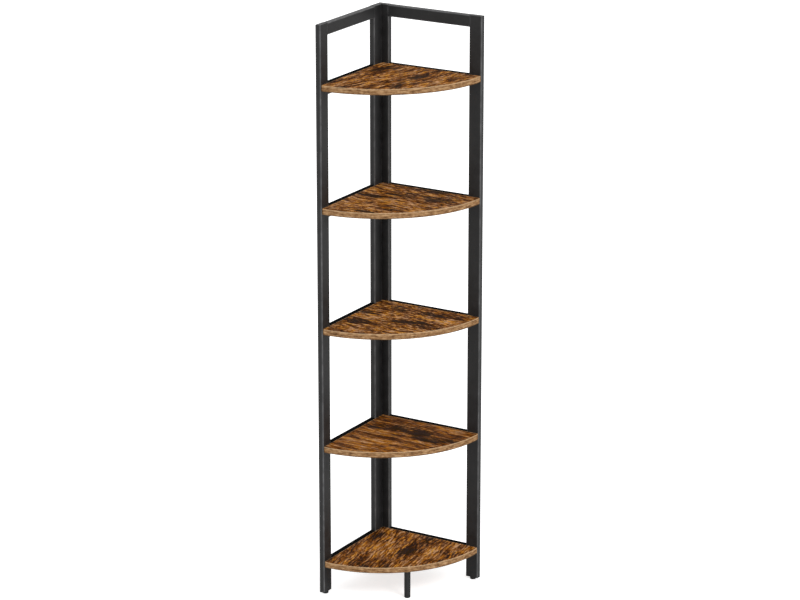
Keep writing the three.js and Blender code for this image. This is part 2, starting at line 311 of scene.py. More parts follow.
def turned_surface(profile, columns, origin, axes=STANDING, shape=None, screw=None, ring=False):
    """A profile of radii and heights turned about its axis. A ring's profile closes on itself,
    and any other has a pole at each end. screw has the radius above which a thread is cut in,
    never deeper than half the radius, and the thread's measures. shape may change the radii
    and heights as functions of place and angle."""
    angles = np.linspace(0.0, FULL_TURN, columns, endpoint=False)
    size, lift = np.repeat(np.array(profile).T[:, :, None], columns, axis=2)
    if screw:
        least, *measured = screw
        cut_in = np.minimum(thread(lift, angles, *measured), size / 2)
        size = size - np.where(size > least, cut_in, 0.0)
    if shape:
        size, lift = shape(size, lift, angles)
    grid = placed(np.stack([size * np.cos(angles), size * np.sin(angles), lift], axis=-1), origin, axes)
    surface = Surface()
    if ring:
        surface.ring(grid)
        return surface
    numbers = surface.rows(grid)
    surface.skin(numbers)
    for row in (0, -1):
        surface.pole(numbers[row], placed(AXIS_Z * lift[row].mean(), origin, axes))
    return surface


def rounded_outline(width, depth, inset, wall_shares, side_shares):
    """A rounded rectangle drawn in by inset: quarter arcs about the four corner centres, and
    straight sides with a point at each share of their length. The side that comes first after
    the first arc is the wall side, from +x to -x."""
    radius = max(TUBE_CORNER - inset, LEAST_CORNER)
    reach = np.array([width / 2 - inset - radius, depth / 2 - inset - radius])
    signs = np.array([[1, 1], [-1, 1], [-1, -1], [1, -1]])
    corners = [arc(*(sign * reach), radius, i, i + 1, CORNER_STEPS + 1) for i, sign in enumerate(signs)]
    parts = []
    for i, corner in enumerate(corners):
        start, end = corner[-1], corners[(i + 1) % 4][0]
        shares = side_shares if i else wall_shares
        parts += [corner, start + np.outer(shares, end - start)]
    return np.concatenate(parts)


def rim_rows(inset_from, inset_to, height, inwards):
    """Insets and heights that turn over the rim of a wall: a quarter circle outside, a level
    stretch, and a quarter circle inside. inwards is 1 at a lower rim and -1 at an upper one."""
    middle = height + inwards * RIM_ROUNDING
    outer = arc(inset_from + RIM_ROUNDING, middle, RIM_ROUNDING, 2, 2 + inwards, RIM_STEPS)
    inner = arc(inset_to - RIM_ROUNDING, middle, RIM_ROUNDING, -inwards, 0, RIM_STEPS)
    return np.concatenate([outer[1:], inner[:-1]])


def even_heights(bottom, top, holes, patch):
    """Heights along a tube: a narrow support stretch at each end, plain steps between, and a
    close set of steps across each hole."""
    steps = [bottom, bottom + SUPPORT_WIDTH, top - SUPPORT_WIDTH, top]
    steps += list(np.linspace(bottom, top, LENGTH_STEPS)[1:-1])
    for place in holes:
        steps = [step for step in steps if abs(step - place) > patch + SUPPORT_WIDTH]
        steps += list(np.linspace(place - patch, place + patch, HOLE_STEPS + 1))
    return np.array(sorted(steps))


def wall_shares_for(width, across, patch):
    """Shares of the wall side at which the outline has points: near both ends, between them,
    and a close set across the hole where there is one."""
    reach = width / 2 - TUBE_CORNER
    support = SUPPORT_WIDTH / (4 * reach)
    ends = np.array([support, 1 - support])
    if across is None:
        return np.array([support, *WALL_SHARES, 1 - support])
    hole = (reach - np.linspace(across + patch, across - patch, HOLE_STEPS + 1)) / (2 * reach)
    ends = ends[(ends < hole.min() - LEAST_SHARE) | (ends > hole.max() + LEAST_SHARE)]
    between_ends = [share for share in WALL_SHARES if abs(share - hole.mean()) > patch / reach]
    return np.array(sorted([*ends, *between_ends, *hole]))


def square_loop(numbers, rows, columns):
    """Vertex numbers round a square patch of a table, as one closed loop."""
    low, high = rows
    first, last = columns
    return np.concatenate([
        numbers[low, first:last],
        numbers[low:high, last],
        numbers[high, last:first:-1],
        numbers[high:low:-1, first],
    ])


def open_hole(surface, points, outer, inner, centre, radius):
    """The wall of a round hole in a flat side. From the square patch's edge the points go in
    to a circle, over a small rounding, straight through the wall, and out again to the square
    on the inside. Each circle point lies in the direction of its square point."""
    square = points[outer][:, [0, 2]]
    toward = square - centre
    toward = toward / np.linalg.norm(toward, axis=1, keepdims=True)
    face = points[outer][0, 1]
    wide = radius + RIM_ROUNDING
    steps = [
        (0.5, 0.0, wide), (1.0, 0.0, wide), (1.0, RIM_ROUNDING, radius),
        (1.0, TUBE_WALL - RIM_ROUNDING, radius), (1.0, TUBE_WALL, wide), (0.5, TUBE_WALL, wide),
    ]
    rows = []
    for share, depth, size in steps:
        flat = square + share * (centre + size * toward - square)
        rows.append(np.column_stack([flat[:, 0], np.full(len(flat), face - depth), flat[:, 1]]))
    surface.skin(np.vstack([outer, surface.rows(np.stack(rows)), inner]))


def foot_table(bottom, neck, inner_low):
    """Insets and heights from the outside of a tube to its inside, over its lower rim. Where
    there is a neck they step in on it and go down round its end."""
    if not neck:
        return rim_rows(0.0, TUBE_WALL, bottom, 1)
    neck_end = bottom - neck
    neck_bore = NECK_INSET + TUBE_WALL
    return np.vstack([
        rim_rows(0.0, NECK_INSET, bottom, 1)[:RIM_STEPS],
        (NECK_INSET, bottom),
        (NECK_INSET, neck_end + RIM_ROUNDING),
        rim_rows(NECK_INSET, neck_bore, neck_end, 1),
        (neck_bore, neck_end + RIM_ROUNDING),
        (neck_bore, inner_low),
    ])


def skin_sides(surface, outer, inner, heights, marks, hole, patch):
    """The outer and inner skin of a tube, and its round holes. A skin has no quads in the
    square patch round a hole. heights and marks are the places of the rows along the tube and
    of the points across its wall side."""
    across, places, diameter = hole
    keep = np.ones((len(heights) - 1, outer.shape[1]), dtype=bool)
    blocks = []
    for place in places:
        row = nearest(heights, place - patch)
        column = CORNER_STEPS + 1 + nearest(marks, across + patch)
        block = ((row, row + HOLE_STEPS), (column, column + HOLE_STEPS))
        keep[slice(*block[0]), slice(*block[1])] = False
        blocks.append(block)
    surface.skin(outer, keep)
    surface.skin(inner, keep)
    points = surface.points()
    for place, block in zip(places, blocks):
        loops = [square_loop(numbers, *block) for numbers in (outer, inner)]
        open_hole(surface, points, *loops, np.array([across, place]), diameter / 2)


def close_top(surface, rows, outer, inner, top):
    """The closed end of a tube: a rounded cap outside, whose last rows are scaled in towards a
    pole, and a flat lid inside."""
    over = rows(arc(TOP_ROUNDING, top - TOP_ROUNDING, TOP_ROUNDING, 2, 1, TURN_STEPS)[1:])
    flat = [rows([(TOP_ROUNDING, top)], scale) for scale in CAP_SCALES]
    cap = surface.rows(np.concatenate([over, *flat]))
    surface.skin(np.vstack([outer, cap]))
    surface.pole(cap[-1], AXIS_Z * top)
    inner_top = top - TUBE_WALL
    lid = surface.rows(rows([(TUBE_WALL, inner_top)], CAP_SCALES[-1]))
    surface.skin(np.vstack([inner, lid]))
    surface.pole(lid[-1], AXIS_Z * inner_top)


def tube_surface(width, depth, bottom, top, hole, neck=None):
    """A rectangular tube as one closed surface: the outside, the inside a wall's thickness in,
    and rounded rims. Each row is the outline at an inset, scaled about the middle line and
    lifted to a height. hole gives the place across, the places along and the diameter of round
    holes. A tube with a neck steps in on it at the bottom, and is closed at the top."""
    across, places, diameter = hole
    patch = diameter / 2 + HOLE_PATCH_MARGIN + RIM_ROUNDING
    wall_shares = wall_shares_for(width, across, patch)
    support = SUPPORT_WIDTH / (width - 2 * TUBE_CORNER)
    side_shares = np.array([support, 0.5, 1 - support])
    surface = Surface()

    def rows(table, scale=1.0):
        """The outline at each inset and height of a table."""
        return np.stack([
            lifted(scale * rounded_outline(width, depth, inset, wall_shares, side_shares), height)
            for inset, height in table
        ])

    low = bottom + RIM_ROUNDING
    high = top - (TOP_ROUNDING if neck else RIM_ROUNDING)
    heights = even_heights(low, high, places, patch)
    inner_low = bottom + NECK_SHOULDER if neck else low
    inner_top = top - TUBE_WALL if neck else high
    inner_heights = heights.copy()
    inner_heights[0], inner_heights[-1] = inner_low, inner_top
    inner_heights[1] = max(inner_heights[1], inner_low + SUPPORT_WIDTH)
    inner_heights[-2] = min(inner_heights[-2], inner_top - SUPPORT_WIDTH)
    outer = surface.rows(rows([(0.0, height) for height in heights]))
    inner = surface.rows(rows([(TUBE_WALL, height) for height in inner_heights]))
    marks = (width / 2 - TUBE_CORNER) * (1 - 2 * wall_shares)
    skin_sides(surface, outer, inner, heights, marks, hole, patch)
    foot = surface.rows(rows(foot_table(bottom, neck, inner_low)))
    surface.skin(np.vstack([outer[:1], foot, inner[:1]]))
    if neck:
        close_top(surface, rows, outer[-1:], inner[-1:], top)
    else:
        head = surface.rows(rows(rim_rows(0.0, TUBE_WALL, top, -1)))
        surface.skin(np.vstack([outer[-1:], head, inner[-1:]]))
    return surface


def edge_nearness(points, width, depth):
    """1 on the rounded long edges of a tube and 0 on its flat sides, with a short fade."""
    past_width = np.abs(points[:, 0]) - (width / 2 - TUBE_CORNER)
    past_depth = np.abs(points[:, 1]) - (depth / 2 - TUBE_CORNER)
    fade = SUPPORT_WIDTH
    return smooth_step(-fade, fade, past_width) * smooth_step(-fade, fade, past_depth)


def add_tube(node, surface, width, depth, origin, axes, material, shaded_top_material=None):
    """A tube from its local surface. Its long edges are marked for the coat's painted highlight. A
    material for the top, a darker coat of painted shade, goes on the faces that look up at the
    tube's top, whose edges have no painted highlight."""
    local = surface.points()
    # The edge values mark where the coat gets its painted highlight. A tube with the painted shade top coat
    # gets none.
    edge = np.zeros(len(local)) if shaded_top_material else edge_nearness(local, width, depth)
    surface.grids = [placed(local, origin, axes)]
    piece = add_piece(f"{node}_tube", surface, material, node=node, values={"edge": edge})
    if shaded_top_material:
        piece.data.materials.append(shaded_top_material)
        faces = piece.data.polygons
        normals, centres = np.empty((2, len(faces), 3), dtype=np.float32)
        faces.foreach_get("normal", normals.ravel())
        faces.foreach_get("center", centres.ravel())
        level = origin[2] + width / 2 - TUBE_CORNER
        on_top = (normals[:, 2] > TOP_FACE_NORMAL) & (centres[:, 2] > level)
        faces.foreach_set("material_index", on_top.astype(np.int32))


def add_uprights(material):
    """Both halves of the four uprights. The right rear one has holes for the corner bolts."""
    split = corners_of(SPLIT_RAIL)[1][2]
    bolts = [measures(f"corner_bolt_{i + 1}")[0] for i in range(BOLT_COUNT)]
    for side, end in UPRIGHTS:
        axes = UPRIGHT_AXES[side]
        for part in ("lower", "upper"):
            node = f"{side}_{end}_upright_{part}"
            low, high = corners_of(node)
            middle, width, depth = measures(node, *axes[:2])
            bottom, top, neck = low[2], split, None
            if part == "upper":
                bottom, top, neck = split, high[2], split - low[2]
            hole = NO_HOLE
            if (side, end) == ("right", "rear"):
                places = [float(bolt[2]) for bolt in bolts if bottom < bolt[2] < top]
                hole = (float((bolts[0] - middle) @ axes[0]), places, BOLT_HOLE)
            surface = tube_surface(width, depth, bottom, top, hole, neck)
            add_tube(node, surface, width, depth, middle * ON_FLOOR, axes, material)


def add_rails(material, shaded_top_material):
    """The rails lie along the frames. A shelf rail has a hole for each of its two screws, and its
    top gets a darker coat, painted shade beside the board against it."""
    for side in SIDES:
        axes = RAIL_AXES[side]
        for number, node in enumerate(rails_of(side), 1):
            middle, height, depth, length = measures(node, *axes)
            hole, top = NO_HOLE, None
            if number <= SHELF_COUNT:
                screws = [measures(f"shelf_{number}_screw_{side}_{end}")[0] for end in ENDS]
                places = [float((screw - middle) @ axes[2]) for screw in screws]
                hole = (float(screws[0][2] - middle[2]), places, SCREW_HOLE)
                # The darker coat on a shelf rail's top is painted shade.
                top = shaded_top_material
            surface = tube_surface(height, depth, -length / 2, length / 2, hole)
            add_tube(node, surface, height, depth, middle, axes, material, top)


def add_bead(surface, origin, axes, width, depth):
    """A weld bead: a circle carried round the rail's outline at its end. The circle's radius
    has ripples, a sine of the length round the outline."""
    path = rounded_outline(width, depth, BEAD_SINK, *BEAD_SHARES)
    ahead = np.roll(path, -1, axis=0)
    tangent = ahead - np.roll(path, 1, axis=0)
    tangent = tangent / np.linalg.norm(tangent, axis=1, keepdims=True)
    outwards = np.column_stack([tangent[:, 1], -tangent[:, 0]])
    around = np.cumsum(np.linalg.norm(ahead - path, axis=1))
    radius = BEAD_RADIUS + BEAD_RIPPLE * np.sin(FULL_TURN * around / BEAD_RIPPLE_PITCH)
    angles = np.linspace(0.0, FULL_TURN, BEAD_COLUMNS, endpoint=False)[:, None]
    flat = path + (radius * np.cos(angles))[..., None] * outwards
    grid = np.concatenate([flat, (radius * np.sin(angles))[..., None]], axis=-1)
    surface.ring(placed(grid, origin, axes))


def add_weld_beads(material):
    """Each frame's beads, one round each end of its rails, a little on the upright's side of
    the joint, where they fill the groove along the uprights' rounded edges."""
    for side in SIDES:
        axes = RAIL_AXES[side]
        surface = Surface()
        for node in rails_of(side):
            middle, height, depth, length = measures(node, *axes)
            reach = (length / 2 + BEAD_REACH) * axes[2]
            for end in (middle - reach, middle + reach):
                add_bead(surface, end, axes, height, depth)
        add_piece(f"{side}_frame_weld_beads", surface, material)


def board_outline(radius, inset):
    """A board's outline about the frames' inner corner, drawn in by inset. The straight edges
    run beside the frames, the tips are small arcs, and the front is an arc about the corner.
    It starts at the inner corner, where it has a small arc too."""
    tip = max(BOARD_TIP - inset, LEAST_CORNER)
    clear = BOARD_CLEARANCE + inset + tip
    reach = math.sqrt((radius - inset - tip) ** 2 - clear ** 2)
    lean = math.atan2(clear, reach) / RIGHT_ANGLE
    corner = max(BOARD_CORNER - inset, LEAST_CORNER)
    inner = BOARD_CLEARANCE + BOARD_CORNER + max(inset - BOARD_CORNER + LEAST_CORNER, 0.0)
    start = arc(inner, -inner, corner, 1.5, 1, BOARD_STEPS["corner"])
    first = arc(reach, -clear, tip, 1, -lean, BOARD_STEPS["tip"])
    front = arc(0.0, 0.0, radius - inset, -lean, lean - 1, BOARD_STEPS["front"])[1:-1]
    last = arc(clear, -reach, tip, lean - 1, -2, BOARD_STEPS["tip"])
    finish = arc(inner, -inner, corner, 2, 1.5, BOARD_STEPS["corner"])[:-1]
    shares = np.linspace(0.0, 1.0, BOARD_STEPS["side"])[1:-1]
    out = start[-1] + np.outer(shares, first[0] - start[-1])
    back = last[-1] + np.outer(shares, finish[0] - last[-1])
    return np.concatenate([start, out, first, front, last, back, finish])


def board_surface(radius, thickness):
    """A board as rows of its outline. From a middle point the rows grow out to the edge, turn
    over it in a quarter circle, go down the edge band, and close the underside the same way.
    The rows near the edge are drawn in by a few millimetres. The others are scaled, and the
    underside has every third of them."""
    middle = radius * BOARD_MIDDLE_SHARE * np.array([1.0, -1.0])
    upper = thickness - BOARD_EDGE
    edge = np.vstack([
        [(inset, thickness) for inset in RIM_INSETS],
        arc(BOARD_EDGE, upper, BOARD_EDGE, 1, 2, BOARD_STEPS["rim"]),
        straight(0.0, np.linspace(upper, BOARD_EDGE, BOARD_STEPS["band"])[1:-1]),
        arc(BOARD_EDGE, BOARD_EDGE, BOARD_EDGE, 2, 3, BOARD_STEPS["rim"]),
        [(inset, 0.0) for inset in reversed(RIM_INSETS)],
    ])

    def scaled(height, shares):
        """The first outline drawn in towards the middle by shares."""
        ring = board_outline(radius, RIM_INSETS[0])
        return lifted(middle + shares[:, None, None] * (ring - middle), height)

    rows = np.stack([lifted(board_outline(radius, inset), height) for inset, height in edge])
    surface = Surface()
    numbers = surface.rows(np.concatenate([
        scaled(thickness, INNER_SHARES), rows, scaled(0.0, INNER_SHARES[::-3]),
    ]))
    surface.skin(numbers)
    surface.pole(numbers[0], (*middle, thickness))
    surface.pole(numbers[-1], (*middle, 0.0))
    return surface


def dark_patches(flat, radius, patches):
    """Soft ellipses added together: each is its strength times the exponential of minus the
    square of the distance from its middle, measured along and across it in its own length and
    width, which are shares of the board's radius. The sum stays between -1 and 1."""
    total = np.zeros(len(flat))
    for x, y, length, width, turn, strength in patches:
        offset = flat / radius - np.array([x, y])
        angle = math.radians(turn)
        along = offset @ np.array([math.cos(angle), math.sin(angle)]) / length
        across = offset @ np.array([-math.sin(angle), math.cos(angle)]) / width
        total += strength * np.exp(-(along ** 2 + across ** 2))
    return np.clip(total, -1.0, 1.0)


def add_boards(materials, patches):
    """The five boards. Each point has its nearness to the upper rim, below zero near the lower
    one, whether it is on the edge band, its place round the outline, and how much darker, or
    below zero paler, the print is there."""
    for number, (material, spots) in enumerate(zip(materials, patches), 1):
        node = f"shelf_{number}"
        low, high = corners_of(node)
        radius = float(high[0] - low[0]) + BOARD_CLEARANCE
        thickness = float(high[2] - low[2])
        surface = board_surface(radius, thickness)
        local = surface.points()
        flat, height = local[:, :2], local[:, 2]
        reach = np.linalg.norm(flat, axis=1)
        from_edge = np.minimum(radius - reach, np.minimum(flat[:, 0], -flat[:, 1]) - BOARD_CLEARANCE)
        below = np.minimum(height, thickness - height)
        upper = np.where(height > thickness / 2, 1.0, -1.0)
        values = {
            "rim": upper * (1.0 - smooth_step(0.0, RIM_BAND, from_edge + below)),
            "band": smooth_step(0.0, BOARD_EDGE, below),
            "around": np.arctan2(-flat[:, 1], flat[:, 0]) * radius,
            "dark": dark_patches(flat, radius, spots),
        }
        surface.grids = [local + (low[0] - BOARD_CLEARANCE, high[1] + BOARD_CLEARANCE, low[2])]
        add_piece(f"{node}_board", surface, material, node=node, values=values)


def cross_recess(x, y):
    """1 inside a cross of two bars and 0 outside, with a soft edge."""
    def bar(a, b):
        side = smooth_step(-RECESS_EDGE / 2, RECESS_EDGE / 2, CROSS_WIDTH / 2 - np.abs(a))
        end = smooth_step(-RECESS_EDGE, RECESS_EDGE, CROSS_LENGTH / 2 - np.abs(b))
        return side * end
    return np.maximum(bar(x, y), bar(y, x))


def hexagon_recess(x, y):
    """1 inside a hexagon and 0 outside, by the largest distance along its three directions."""
    turns = math.pi / 3 * np.arange(3)
    reach = np.max([np.abs(x * math.cos(t) + y * math.sin(t)) for t in turns], axis=0)
    return smooth_step(-RECESS_EDGE / 2, RECESS_EDGE / 2, SOCKET_ACROSS / 2 - reach)


def add_fastener(name, side, sizes, recess, material):
    """A fastener laid from its head, on the wall side, towards the room: a domed head, whose
    top is let down inside the recess, a rounded side, a flat seat, and a threaded shank that
    ends in a point."""
    wall = TO_WALL[side]
    middle, length, across = measures(name, wall, AXIS_Z)
    radius, head, shank = across / 2, sizes["head"], sizes["shank"]
    start, end = head + 2 * SEAT_ROUNDING, length - sizes["point"]
    dome = DOME_SHARE * head
    narrowed = shank * (1 - (1 - TIP_SHARE) * POINT_SHARES)
    profile = np.vstack([
        np.column_stack([radius * DOME_SHARES, dome * DOME_SHARES ** DOME_POWER]),
        (radius, head - HEAD_ROUNDING),
        (radius - HEAD_ROUNDING, head),
        (shank + SEAT_ROUNDING, head),
        (shank, head + SEAT_ROUNDING),
        straight(shank, np.linspace(start, end, int((end - start) / sizes["pitch"] * SHANK_STEPS))),
        np.column_stack([narrowed, end + sizes["point"] * POINT_SHARES]),
    ])

    def shape(size, lift, angles):
        """Lets the head's top down to the recess's depth."""
        depth = recess(size * np.cos(angles), size * np.sin(angles)) * np.maximum(sizes["recess"] - lift, 0.0)
        return size, lift + np.where((lift <= dome) & (size < radius), depth, 0.0)

    axes = (ALONG[side], AXIS_Z, -wall)
    screw = (0.0, sizes["pitch"], sizes["thread"], start, length)
    head_end = middle + wall * length / 2
    surface = turned_surface(profile, COLUMNS["fastener"], head_end, axes, shape, screw)
    add_piece(f"{name}_detail", surface, material, node=name)


def add_fasteners(material):
    """The boards' screws and the corner bolts."""
    for number in range(1, SHELF_COUNT + 1):
        for side, end in UPRIGHTS:
            add_fastener(f"shelf_{number}_screw_{side}_{end}", side, SCREW, cross_recess, material)
    for number in range(1, BOLT_COUNT + 1):
        add_fastener(f"corner_bolt_{number}", "right", BOLT, hexagon_recess, material)


def add_weld_nuts(material):
    """Rings inside the left rear upright, which take the corner bolts. Each ring is a rectangle
    turned about the bolt's axis."""
    face = corners_of("left_rear_upright_lower")[1][1]
    outer, inner = NUT_DIAMETER / 2, BOLT["shank"] + STUD_CLEARANCE
    section = [(inner, 0.0), (outer, 0.0), (outer, NUT_HEIGHT), (inner, NUT_HEIGHT)]
    for number in range(1, BOLT_COUNT + 1):
        middle = measures(f"corner_bolt_{number}")[0]
        origin = np.array([middle[0], face - TUBE_WALL, middle[2]])
        axes = (AXIS_X, AXIS_Z, -AXIS_Y)
        surface = turned_surface(section, COLUMNS["nut"], origin, axes, ring=True)
        add_piece(f"left_rear_weld_nut_{number}", surface, material)


def add_foot(node, body, height, radius, material):
    """A levelling foot: a pad with a well rounded underside, small grips round its side and a
    small rounding on top, and the threaded stud on it."""
    stud, stud_end = STUD_DIAMETER / 2, float(corners_of(node)[1][2])
    turn, rounding = PAD_TURN_SHARE * height, PAD_ROUNDING
    end = stud_end - STUD_POINT
    steps = int((end - height) / STUD_PITCH * STUD_STEPS)
    grip_top, fade_start, fade_end = (height * share for share in GRIP_SHARES)
    profile = np.vstack([
        (radius * CORE_SHARE, 0.0),
        (radius - turn - SUPPORT_WIDTH, 0.0),
        arc(radius - turn, turn, turn, -1, 0, PAD_STEPS),
        (radius, grip_top),
        arc(radius - rounding, height - rounding, rounding, 0, 1, RIM_STEPS),
        (stud + rounding, height),
        (stud, height + rounding / 2),
        straight(stud, np.linspace(height + rounding, end, steps)),
        (stud - STUD_POINT, stud_end),
        ((stud - STUD_POINT) * CORE_SHARE, stud_end),
    ])

    def shape(size, lift, angles):
        """Presses the grips into the pad's side as a cosine of the angle."""
        side = smooth_step(turn / 2, turn, lift) * (1 - smooth_step(fade_start, fade_end, lift))
        return size - PAD_GRIP_DEPTH * side * (0.5 + 0.5 * np.cos(PAD_GRIPS * angles)), lift

    screw = (stud - STUD_POINT / 2, STUD_PITCH, STUD_THREAD, height + STUD_PITCH, stud_end)
    origin = measures(node)[0] * ON_FLOOR
    surface = turned_surface(profile, COLUMNS["foot"], origin, shape=shape, screw=screw)
    add_piece(f"{node}_detail", surface, material, body=body, node=node)


def add_feet(material):
    """The four feet of the uprights, and the leg's foot, which is as wide as the leg."""
    for side, end in UPRIGHTS:
        node = f"{side}_{end}_levelling_foot"
        add_foot(node, f"{side}_{end}_foot", FOOT_HEIGHT, measures(node, AXIS_X)[1] / 2, material)
    radius = measures("front_leg", AXIS_X)[1] / 2
    add_foot("front_leg_levelling_foot", "front_leg_foot", LEG_FOOT_HEIGHT, radius, material)


def add_plugs(material):
    """The tube plugs: a flange with rounded edges, a body inside the tube, and a round bore.
    Each row goes from the tube's outline to a circle by a share."""
    body = TUBE_WALL + PLUG_CLEARANCE
    bore = STUD_DIAMETER / 2 + STUD_CLEARANCE
    turn = PAD_ROUNDING
    bevel = PLUG_BEVEL_SHARE * turn
    for side, end in UPRIGHTS:
        node = f"{side}_{end}_tube_plug"
        axes = UPRIGHT_AXES[side]
        middle, width, depth = measures(node, *axes[:2])
        bottom, top = (corner[2] for corner in corners_of(node))
        flange = bottom + PLUG_FLANGE
        table = [
            (turn, bottom, 0.0), (bevel, bottom + bevel, 0.0), (0.0, bottom + turn, 0.0),
            (0.0, flange - RIM_ROUNDING, 0.0), (RIM_ROUNDING, flange, 0.0),
            (body, flange, 0.0), (body, top - turn, 0.0), (body + turn, top, 0.0),
            (body + turn, top, 0.5), (0.0, top, 1.0), (0.0, top - turn, 1.0),
            (0.0, bottom + turn, 1.0), (0.0, bottom, 1.0), (turn, bottom, 0.5),
        ]
        rows = []
        for inset, height, share in table:
            outline = rounded_outline(width, depth, inset, PLUG_SHARES, PLUG_SHARES)
            circle = bore * outline / np.linalg.norm(outline, axis=1, keepdims=True)
            rows.append(lifted(outline + share * (circle - outline), height))
        surface = Surface()
        surface.ring(placed(np.stack(rows), middle * ON_FLOOR, axes))
        add_piece(f"{node}_detail", surface, material, node=node)


def add_leg(material):
    """The round front leg, with a bore for its foot and a threaded stud on top."""
    low, high = corners_of("front_leg")
    radius = float(high[0] - low[0]) / 2
    shoulder = float(corners_of("shelf_1")[0][2])
    bottom, end = float(low[2]), float(high[2])
    stud = LEG_STUD_DIAMETER / 2
    bore = STUD_DIAMETER / 2 + STUD_CLEARANCE
    depth = float(corners_of("front_leg_levelling_foot")[1][2]) + RIM_ROUNDING
    turn = PAD_ROUNDING
    start = shoulder + 2 * SEAT_ROUNDING
    steps = int((end - shoulder) / LEG_STUD_PITCH * STUD_STEPS)
    profile = np.vstack([
        (bore * CORE_SHARE, depth),
        straight(bore, [depth, depth - turn, bottom + turn / 2]),
        (bore + turn / 2, bottom),
        (radius - turn - SUPPORT_WIDTH, bottom),
        arc(radius - turn, bottom + turn, turn, -1, 0, TURN_STEPS),
        straight(radius, [bottom + LEG_END_STRETCH, shoulder - turn - LEG_END_STRETCH]),
        arc(radius - turn, shoulder - turn, turn, 0, 1, TURN_STEPS),
        (stud + turn, shoulder),
        (stud, shoulder + SEAT_ROUNDING),
        straight(stud, np.linspace(start, end - turn, steps)),
        (stud - LEG_STUD_POINT, end),
        ((stud - LEG_STUD_POINT) * CORE_SHARE, end),
    ])
    screw = (stud - LEG_STUD_POINT / 2, LEG_STUD_PITCH, STUD_THREAD, start + SEAT_ROUNDING, end)
    surface = turned_surface(profile, COLUMNS["leg"], (low + high) / 2 * ON_FLOOR, screw=screw)
    values = {"edge": np.zeros(surface.count)}
    add_piece("front_leg_detail", surface, material, node="front_leg", values=values)


def add_insert(material):
    """The insert that the leg screws into: a sleeve with a coarse thread on its outside."""
    low, high = corners_of("front_leg_insert")
    outer = float(high[0] - low[0]) / 2
    inner = LEG_STUD_DIAMETER / 2 + STUD_CLEARANCE
    bottom, top = float(low[2]), float(high[2])
    turn, half = PAD_ROUNDING, PAD_ROUNDING / 2
    steps = int((top - bottom) / INSERT_PITCH * INSERT_STEPS)
    section = np.vstack([
        (inner, bottom + half),
        (inner + half, bottom),
        (outer - half, bottom),
        straight(outer, np.linspace(bottom + turn, top - turn, steps)),
        (outer - half, top),
        (inner + half, top),
        (inner, top - half),
    ])
    screw = (outer - half / 2, INSERT_PITCH, STUD_THREAD, bottom + turn, top)
    origin = measures("front_leg")[0] * ON_FLOOR
    surface = turned_surface(section, COLUMNS["insert"], origin, screw=screw, ring=True)
    add_piece("front_leg_insert_detail", surface, material, node="front_leg_insert")


def fill(tree, made, inputs):
    """Gives a node's inputs their values: a link from a socket, or a plain number or colour."""
    for label, value in inputs.items():
        socket = made.inputs[label]
        if isinstance(value, bpy.types.NodeSocket):
            tree.links.new(value, socket)
        elif socket.type == "RGBA":
            socket.default_value = (*value, 1.0)
        else:
            socket.default_value = value
    return made


def new_node(tree, kind, inputs):
    """A shader node with its inputs filled."""
    return fill(tree, tree.nodes.new(f"ShaderNode{kind}"), inputs)


def arithmetic(tree, operation, *values, kind="Math"):
    """A Math or VectorMath node on sockets or plain values."""
    made = tree.nodes.new(f"ShaderNode{kind}")
    made.operation = operation
    return fill(tree, made, dict(enumerate(values))).outputs[0]


def product(tree, *values):
    """All values multiplied together."""
    total = values[0]
    for value in values[1:]:
        total = arithmetic(tree, "MULTIPLY", total, value)
    return total


def weighed(tree, *parts):
    """One half, plus each part's distance from one half times its weight."""
    total = 0.5 - 0.5 * sum(weight for _, weight in parts)
    for value, weight in parts:
        total = arithmetic(tree, "MULTIPLY_ADD", value, weight, total)
    return total


def mapped(tree, vector, scale, turn=0.0, shift=(0.0, 0.0, 0.0)):
    """A vector scaled, turned about Z by degrees, and shifted."""
    rotation = (0.0, 0.0, math.radians(turn))
    inputs = {"Vector": vector, "Scale": scale, "Rotation": rotation, "Location": shift}
    return new_node(tree, "Mapping", inputs).outputs[0]


def noise(tree, vector, scale, detail=4.0, roughness=0.55):
    """The value of a noise texture at a vector."""
    inputs = {"Vector": vector, "Scale": scale, "Detail": detail, "Roughness": roughness}
    return new_node(tree, "TexNoise", inputs).outputs[0]


def between(tree, value, low, high, new_low=0.0, new_high=1.0):
    """A value's way from low to high as a way between two new values, with soft ends."""
    made = tree.nodes.new("ShaderNodeMapRange")
    made.interpolation_type = "SMOOTHSTEP"
    inputs = {"Value": value, "From Min": low, "From Max": high, "To Min": new_low, "To Max": new_high}
    return fill(tree, made, inputs).outputs[0]


def mixed_colours(tree, share, first, second, blend="MIX"):
    """A Mix node between two colours, each a socket or a plain colour. Its share is input 0,
    its colours are inputs 6 and 7, and output 2 is the mixed colour."""
    made = tree.nodes.new("ShaderNodeMix")
    made.data_type = "RGBA"
    made.blend_type = blend
    made.clamp_factor = True
    return fill(tree, made, {0: share, 6: first, 7: second}).outputs[2]


def ramp(tree, value, stops):
    """A Color Ramp from places and colours."""
    made = new_node(tree, "ValToRGB", {0: value})
    elements = made.color_ramp.elements
    while len(elements) < len(stops):
        elements.new(0.5)
    for element, (place, colour) in zip(elements, stops):
        element.position = place
        element.color = (*colour, 1.0)
    return made.outputs[0]


def bumped(tree, height, strength, distance):
    """A normal that follows a height."""
    inputs = {"Height": height, "Strength": strength, "Distance": distance}
    return new_node(tree, "Bump", inputs).outputs[0]


def attribute(tree, name):
    """One of the numbers that a piece's points carry."""
    made = tree.nodes.new("ShaderNodeAttribute")
    made.attribute_name = name
    return made.outputs["Fac"]


def new_group(name, inputs, labels):
    """An empty node group with named inputs, and outputs that are numbers. Gives back its input
    and output nodes too."""
    group = bpy.data.node_groups.new(name, "ShaderNodeTree")
    for label, kind in inputs.items():
        group.interface.new_socket(label, in_out="INPUT", socket_type=kind)
    for label in labels:
        group.interface.new_socket(label, in_out="OUTPUT", socket_type="NodeSocketFloat")
    return group, group.nodes.new("NodeGroupInput"), group.nodes.new("NodeGroupOutput")


